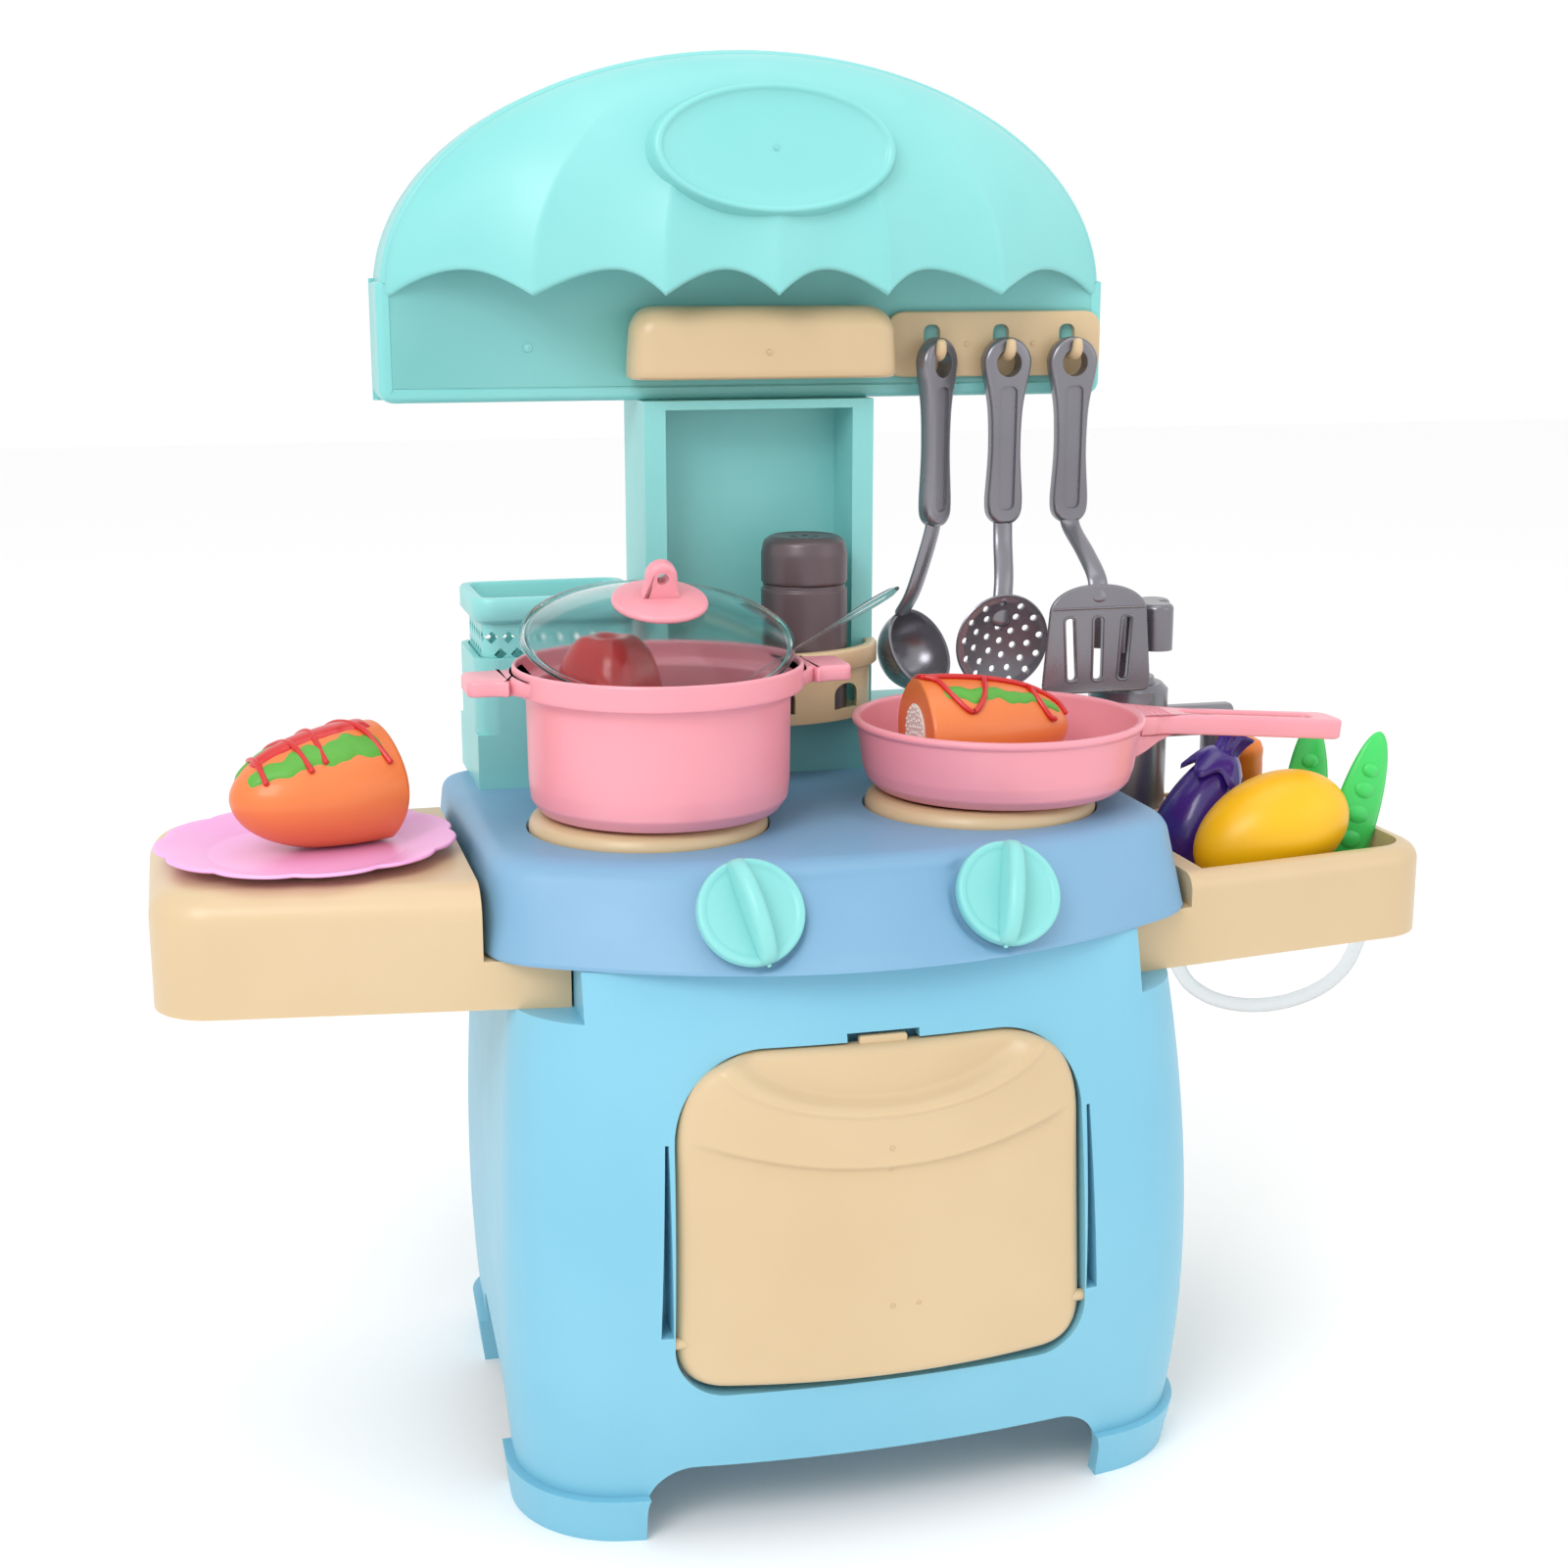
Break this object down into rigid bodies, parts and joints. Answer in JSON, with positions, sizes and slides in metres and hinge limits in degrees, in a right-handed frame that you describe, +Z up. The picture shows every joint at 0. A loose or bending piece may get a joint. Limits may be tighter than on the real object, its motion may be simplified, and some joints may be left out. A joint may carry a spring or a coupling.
{
  "type": "toy kitchen",
  "caption": "Toy kitchen with umbrella canopy, oven with drop-down door, burners, side tray, pump-tap sink, pans, utensils and toy food.",
  "frame": {"origin": "on the floor, under the middle of the whole kitchen", "axes": "+X to the right-hand side seen from the front, +Y to the back, +Z up"},
  "size_m": [0.558, 0.2582, 0.6],
  "materials": {
    "mint_plastic": "semi-gloss injection moulded",
    "sky_plastic": "satin moulded",
    "stove_plastic": "satin moulded",
    "tan_plastic": "semi-gloss moulded",
    "pink_plastic": "gloss moulded",
    "grey_plastic": "metallic grey moulded",
    "bottle_plastic": "pearl brown moulded",
    "clear_plastic": "clear moulded, gloss",
    "clear_hose": "clear flexible tube",
    "plate_plastic": "satin moulded",
    "bun_plastic": "blow moulded, painted",
    "red_plastic": "gloss moulded",
    "velcro": "hook and loop",
    "eggplant_plastic": "gloss moulded",
    "mango_plastic": "satin moulded",
    "pod_plastic": "gloss moulded",
    "orange_plastic": "gloss moulded",
    "steel": "zinc plated"
  },
  "bodies": {
    "kitchen": {"cabinet_front_shell": "sky_plastic", "cabinet_back_shell": "sky_plastic", "oven_shelf": "sky_plastic", "stove_top": "stove_plastic", "burner_left": "tan_plastic", "burner_right": "tan_plastic", "side_tray": "tan_plastic", "sink_tray": "tan_plastic", "pump_nipple": "sky_plastic", "drain_nipple": "sky_plastic", "hose": "clear_hose", "tap_body": "grey_plastic", "tap_collar": "grey_plastic", "tap_spout": "grey_plastic", "tap_spring": "steel", "back_frame": "mint_plastic", "column_back_cover": "mint_plastic", "canopy_front": "mint_plastic", "canopy_back_cover": "mint_plastic", "back_screws": "steel", "range_hood": "tan_plastic", "hook_rail": "tan_plastic", "spice_rack": "tan_plastic"},
    "door": {"oven_door": "tan_plastic"},
    "left_knob": {"knob_left": "mint_plastic", "knob_washer_left": "sky_plastic"},
    "right_knob": {"knob_right": "mint_plastic", "knob_washer_right": "sky_plastic"},
    "tap_pump": {"tap_knob": "grey_plastic", "tap_plunger": "grey_plastic"},
    "basket": {"dish_basket": "mint_plastic"},
    "bottle": {"bottle_body": "bottle_plastic", "bottle_cap": "bottle_plastic"},
    "pot": {"pot": "pink_plastic"},
    "lid": {"pot_lid": "clear_plastic", "lid_knob": "pink_plastic"},
    "pepper": {"pot_pepper": "red_plastic"},
    "spoon": {"spoon": "clear_plastic"},
    "pan": {"pan": "pink_plastic"},
    "bun_in_pan": {"pan_bun": "bun_plastic", "pan_bun_velcro": "velcro"},
    "plate": {"plate": "plate_plastic"},
    "bun_on_plate": {"plate_bun": "bun_plastic", "plate_bun_velcro": "velcro"},
    "ladle": {"ladle": "grey_plastic"},
    "skimmer": {"skimmer": "grey_plastic"},
    "spatula": {"spatula": "grey_plastic"},
    "eggplant": {"eggplant": "eggplant_plastic", "eggplant_calyx": "eggplant_plastic"},
    "mango": {"mango": "mango_plastic"},
    "front_pod": {"pea_pod_front": "pod_plastic"},
    "back_pod": {"pea_pod_back": "pod_plastic"},
    "carrot": {"carrot": "orange_plastic"}
  },
  "joints": [
    {"name": "door_hinge", "type": "hinge", "parent": "kitchen", "child": "door", "pos_m": [0, -0.114, 0.088], "axis": [1, 0, 0], "range_deg": [0, 90]},
    {"name": "left_knob_turn", "type": "hinge", "parent": "kitchen", "child": "left_knob", "pos_m": [-0.053, -0.1036, 0.26], "axis": [0, -0.8545, 0.5195], "continuous": true},
    {"name": "right_knob_turn", "type": "hinge", "parent": "kitchen", "child": "right_knob", "pos_m": [0.053, -0.1036, 0.26], "axis": [0, -0.8545, 0.5195], "continuous": true},
    {"name": "tap_press", "type": "slide", "parent": "kitchen", "child": "tap_pump", "axis": [0, 0, -1], "range_m": [0, 0.012], "stiffness_N_per_m": 150, "springref_m": -0.009, "deforming": ["tap_spring"]},
    {"name": "basket_lift", "type": "slide", "parent": "kitchen", "child": "basket", "axis": [0, 0, 1], "range_m": [0, 0.07]},
    {"name": "bottle_lift", "type": "slide", "parent": "kitchen", "child": "bottle", "axis": [0, 0, 1], "range_m": [0, 0.05]},
    {"name": "pot_lift", "type": "slide", "parent": "kitchen", "child": "pot", "axis": [0, 0, 1], "range_m": [0, 0.04]},
    {"name": "lid_lift", "type": "slide", "parent": "pot", "child": "lid", "axis": [0, 0, 1], "range_m": [0, 0.1]},
    {"name": "pepper_lift", "type": "slide", "parent": "pot", "child": "pepper", "axis": [0, 0, 1], "range_m": [0, 0.06]},
    {"name": "spoon_lift", "type": "slide", "parent": "pot", "child": "spoon", "axis": [0, 0, 1], "range_m": [0, 0.06]},
    {"name": "pan_lift", "type": "slide", "parent": "kitchen", "child": "pan", "axis": [0, 0, 1], "range_m": [0, 0.04]},
    {"name": "pan_bun_lift", "type": "slide", "parent": "pan", "child": "bun_in_pan", "axis": [0, 0, 1], "range_m": [0, 0.06]},
    {"name": "plate_lift", "type": "slide", "parent": "kitchen", "child": "plate", "axis": [0, 0, 1], "range_m": [0, 0.04]},
    {"name": "plate_bun_lift", "type": "slide", "parent": "plate", "child": "bun_on_plate", "axis": [0, 0, 1], "range_m": [0, 0.05]},
    {"name": "ladle_swing", "type": "hinge", "parent": "kitchen", "child": "ladle", "pos_m": [0.084, 0.082, 0.466], "axis": [0, 1, 0], "range_deg": [-10, 0]},
    {"name": "skimmer_swing", "type": "hinge", "parent": "kitchen", "child": "skimmer", "pos_m": [0.118, 0.082, 0.466], "axis": [0, 1, 0], "range_deg": [-8, 8]},
    {"name": "spatula_swing", "type": "hinge", "parent": "kitchen", "child": "spatula", "pos_m": [0.151, 0.082, 0.466], "axis": [0, 1, 0], "range_deg": [-8, 0]},
    {"name": "eggplant_lift", "type": "slide", "parent": "kitchen", "child": "eggplant", "axis": [0, 0, 1], "range_m": [0, 0.06]},
    {"name": "mango_lift", "type": "slide", "parent": "kitchen", "child": "mango", "axis": [0, 0, 1], "range_m": [0, 0.032]},
    {"name": "front_pod_lift", "type": "slide", "parent": "kitchen", "child": "front_pod", "axis": [0.2588, 0, 0.9659], "range_m": [0, 0.06]},
    {"name": "back_pod_lift", "type": "slide", "parent": "kitchen", "child": "back_pod", "axis": [0, 0, 1], "range_m": [0, 0.06]},
    {"name": "carrot_lift", "type": "slide", "parent": "kitchen", "child": "carrot", "axis": [0, 0, 1], "range_m": [0, 0.05]}
  ],
  "couplings": [
    {"joint": "pepper_lift", "follows": "lid_lift", "ratio": 0.6},
    {"joint": "spoon_lift", "follows": "lid_lift", "ratio": 0.6},
    {"joint": "mango_lift", "follows": "pan_lift", "ratio": 0.8}
  ]
}
